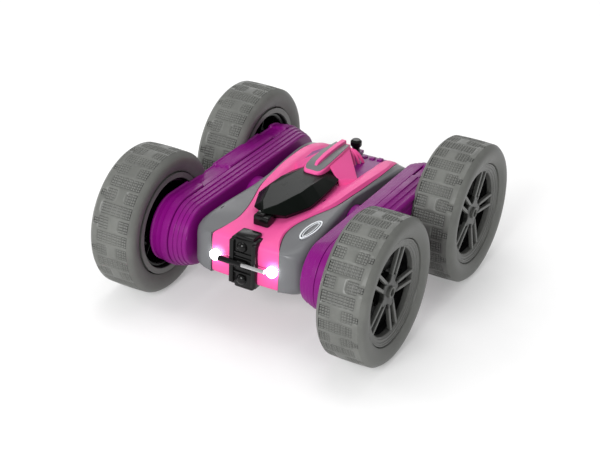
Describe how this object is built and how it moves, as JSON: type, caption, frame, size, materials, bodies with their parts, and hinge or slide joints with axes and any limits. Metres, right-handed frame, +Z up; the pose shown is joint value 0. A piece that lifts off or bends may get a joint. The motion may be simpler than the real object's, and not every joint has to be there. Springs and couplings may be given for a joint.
{
  "type": "rc stunt car",
  "caption": "Double-sided radio-controlled stunt car with a flat body, two freely turning side arms and geared wheels",
  "frame": {"origin": "on the ground, below the middle of the car", "axes": "+Z up, the nose towards -Y, the car's left towards +X"},
  "size_m": [0.148, 0.165, 0.072],
  "materials": {
    "pink_plastic": "glossy moulded pink with a fine moulded skin",
    "grey_plastic": "satin metallic-look dark grey",
    "purple_plastic": "glossy moulded purple",
    "black_plastic": "satin black",
    "smoked_plastic": "polished smoked canopy",
    "rim_plastic": "satin dark grey",
    "tyre_rubber": "matt dark grey soft rubber",
    "headlight_lens": "clear lens over a white diode",
    "chrome_trim": "bright trim",
    "board_green": "green circuit board",
    "shrink_wrap": "blue shrink wrap",
    "gear_plastic": "natural acetal",
    "brass": "turned brass",
    "axle_steel": "drawn steel rod",
    "screw_steel": "zinc-plated steel"
  },
  "bodies": {
    "car_body": {"upper_cover": "pink_plastic", "lower_cover": "pink_plastic", "left_side_panel": "grey_plastic", "right_side_panel": "grey_plastic", "upper_rear_deck": "purple_plastic", "battery_hatch": "purple_plastic", "hatch_screw": "screw_steel", "upper_canopy": "smoked_plastic", "lower_canopy": "smoked_plastic", "upper_scoop": "pink_plastic", "lower_scoop": "pink_plastic", "nose_grille": "black_plastic", "bumper_bar": "chrome_trim", "left_headlight": "headlight_lens", "right_headlight": "headlight_lens", "circuit_board": "board_green", "battery_pack": "shrink_wrap", "left_motor": "screw_steel", "right_motor": "screw_steel", "tail_knob": "black_plastic"},
    "switch_slider": {"power_switch": "black_plastic"},
    "left_arm": {"left_arm_outer_shell": "purple_plastic", "left_arm_inner_shell": "purple_plastic", "left_front_axle_bush": "brass", "left_rear_axle_bush": "brass"},
    "left_front_wheel": {"left_front_tyre": "tyre_rubber", "left_front_rim": "rim_plastic", "left_front_wheel_centre": "black_plastic", "left_front_axle": "axle_steel", "left_front_axle_gear": "gear_plastic"},
    "left_front_reduction": {"left_front_reduction_gear": "gear_plastic"},
    "left_front_idler": {"left_front_idler_gear": "gear_plastic"},
    "left_rear_wheel": {"left_rear_tyre": "tyre_rubber", "left_rear_rim": "rim_plastic", "left_rear_wheel_centre": "black_plastic", "left_rear_axle": "axle_steel", "left_rear_axle_gear": "gear_plastic"},
    "left_rear_reduction": {"left_rear_reduction_gear": "gear_plastic"},
    "left_rear_idler": {"left_rear_idler_gear": "gear_plastic"},
    "left_pinion": {"left_motor_pinion": "brass"},
    "right_arm": {"right_arm_outer_shell": "purple_plastic", "right_arm_inner_shell": "purple_plastic", "right_front_axle_bush": "brass", "right_rear_axle_bush": "brass"},
    "right_front_wheel": {"right_front_tyre": "tyre_rubber", "right_front_rim": "rim_plastic", "right_front_wheel_centre": "black_plastic", "right_front_axle": "axle_steel", "right_front_axle_gear": "gear_plastic"},
    "right_front_reduction": {"right_front_reduction_gear": "gear_plastic"},
    "right_front_idler": {"right_front_idler_gear": "gear_plastic"},
    "right_rear_wheel": {"right_rear_tyre": "tyre_rubber", "right_rear_rim": "rim_plastic", "right_rear_wheel_centre": "black_plastic", "right_rear_axle": "axle_steel", "right_rear_axle_gear": "gear_plastic"},
    "right_rear_reduction": {"right_rear_reduction_gear": "gear_plastic"},
    "right_rear_idler": {"right_rear_idler_gear": "gear_plastic"},
    "right_pinion": {"right_motor_pinion": "brass"}
  },
  "joints": [
    {"name": "switch_slide", "type": "slide", "parent": "car_body", "child": "switch_slider", "axis": [1, 0, 0], "range_m": [0, 0.003]},
    {"name": "left_arm_turn", "type": "hinge", "parent": "car_body", "child": "left_arm", "pos_m": [0.031, 0, 0.036], "axis": [1, 0, 0], "continuous": true},
    {"name": "left_front_wheel_spin", "type": "hinge", "parent": "left_arm", "child": "left_front_wheel", "pos_m": [0.0615, -0.0465, 0.036], "axis": [1, 0, 0], "continuous": true},
    {"name": "left_front_reduction_gear_spin", "type": "hinge", "parent": "left_arm", "child": "left_front_reduction", "pos_m": [0.04, -0.014, 0.036], "axis": [1, 0, 0], "continuous": true},
    {"name": "left_front_idler_gear_spin", "type": "hinge", "parent": "left_arm", "child": "left_front_idler", "pos_m": [0.04, -0.02838, 0.036], "axis": [1, 0, 0], "continuous": true},
    {"name": "left_rear_wheel_spin", "type": "hinge", "parent": "left_arm", "child": "left_rear_wheel", "pos_m": [0.0615, 0.0465, 0.036], "axis": [1, 0, 0], "continuous": true},
    {"name": "left_rear_reduction_gear_spin", "type": "hinge", "parent": "left_arm", "child": "left_rear_reduction", "pos_m": [0.04, 0.014, 0.036], "axis": [1, 0, 0], "continuous": true},
    {"name": "left_rear_idler_gear_spin", "type": "hinge", "parent": "left_arm", "child": "left_rear_idler", "pos_m": [0.04, 0.02838, 0.036], "axis": [1, 0, 0], "continuous": true},
    {"name": "left_pinion_spin", "type": "hinge", "parent": "left_arm", "child": "left_pinion", "pos_m": [0.043, 0, 0.036], "axis": [1, 0, 0], "continuous": true},
    {"name": "right_arm_turn", "type": "hinge", "parent": "car_body", "child": "right_arm", "pos_m": [-0.031, 0, 0.036], "axis": [1, 0, 0], "continuous": true},
    {"name": "right_front_wheel_spin", "type": "hinge", "parent": "right_arm", "child": "right_front_wheel", "pos_m": [-0.0615, -0.0465, 0.036], "axis": [1, 0, 0], "continuous": true},
    {"name": "right_front_reduction_gear_spin", "type": "hinge", "parent": "right_arm", "child": "right_front_reduction", "pos_m": [-0.04, -0.014, 0.036], "axis": [1, 0, 0], "continuous": true},
    {"name": "right_front_idler_gear_spin", "type": "hinge", "parent": "right_arm", "child": "right_front_idler", "pos_m": [-0.04, -0.02838, 0.036], "axis": [1, 0, 0], "continuous": true},
    {"name": "right_rear_wheel_spin", "type": "hinge", "parent": "right_arm", "child": "right_rear_wheel", "pos_m": [-0.0615, 0.0465, 0.036], "axis": [1, 0, 0], "continuous": true},
    {"name": "right_rear_reduction_gear_spin", "type": "hinge", "parent": "right_arm", "child": "right_rear_reduction", "pos_m": [-0.04, 0.014, 0.036], "axis": [1, 0, 0], "continuous": true},
    {"name": "right_rear_idler_gear_spin", "type": "hinge", "parent": "right_arm", "child": "right_rear_idler", "pos_m": [-0.04, 0.02838, 0.036], "axis": [1, 0, 0], "continuous": true},
    {"name": "right_pinion_spin", "type": "hinge", "parent": "right_arm", "child": "right_pinion", "pos_m": [-0.043, 0, 0.036], "axis": [1, 0, 0], "continuous": true}
  ],
  "couplings": [
    {"joint": "left_front_reduction_gear_spin", "follows": "left_front_wheel_spin", "ratio": 1.6},
    {"joint": "left_front_idler_gear_spin", "follows": "left_front_wheel_spin", "ratio": -1.2308},
    {"joint": "left_rear_wheel_spin", "follows": "left_front_wheel_spin", "ratio": 1},
    {"joint": "left_rear_reduction_gear_spin", "follows": "left_front_wheel_spin", "ratio": 1.6},
    {"joint": "left_rear_idler_gear_spin", "follows": "left_front_wheel_spin", "ratio": -1.2308},
    {"joint": "left_pinion_spin", "follows": "left_front_wheel_spin", "ratio": -4},
    {"joint": "right_front_reduction_gear_spin", "follows": "right_front_wheel_spin", "ratio": 1.6},
    {"joint": "right_front_idler_gear_spin", "follows": "right_front_wheel_spin", "ratio": -1.2308},
    {"joint": "right_rear_wheel_spin", "follows": "right_front_wheel_spin", "ratio": 1},
    {"joint": "right_rear_reduction_gear_spin", "follows": "right_front_wheel_spin", "ratio": 1.6},
    {"joint": "right_rear_idler_gear_spin", "follows": "right_front_wheel_spin", "ratio": -1.2308},
    {"joint": "right_pinion_spin", "follows": "right_front_wheel_spin", "ratio": -4}
  ]
}
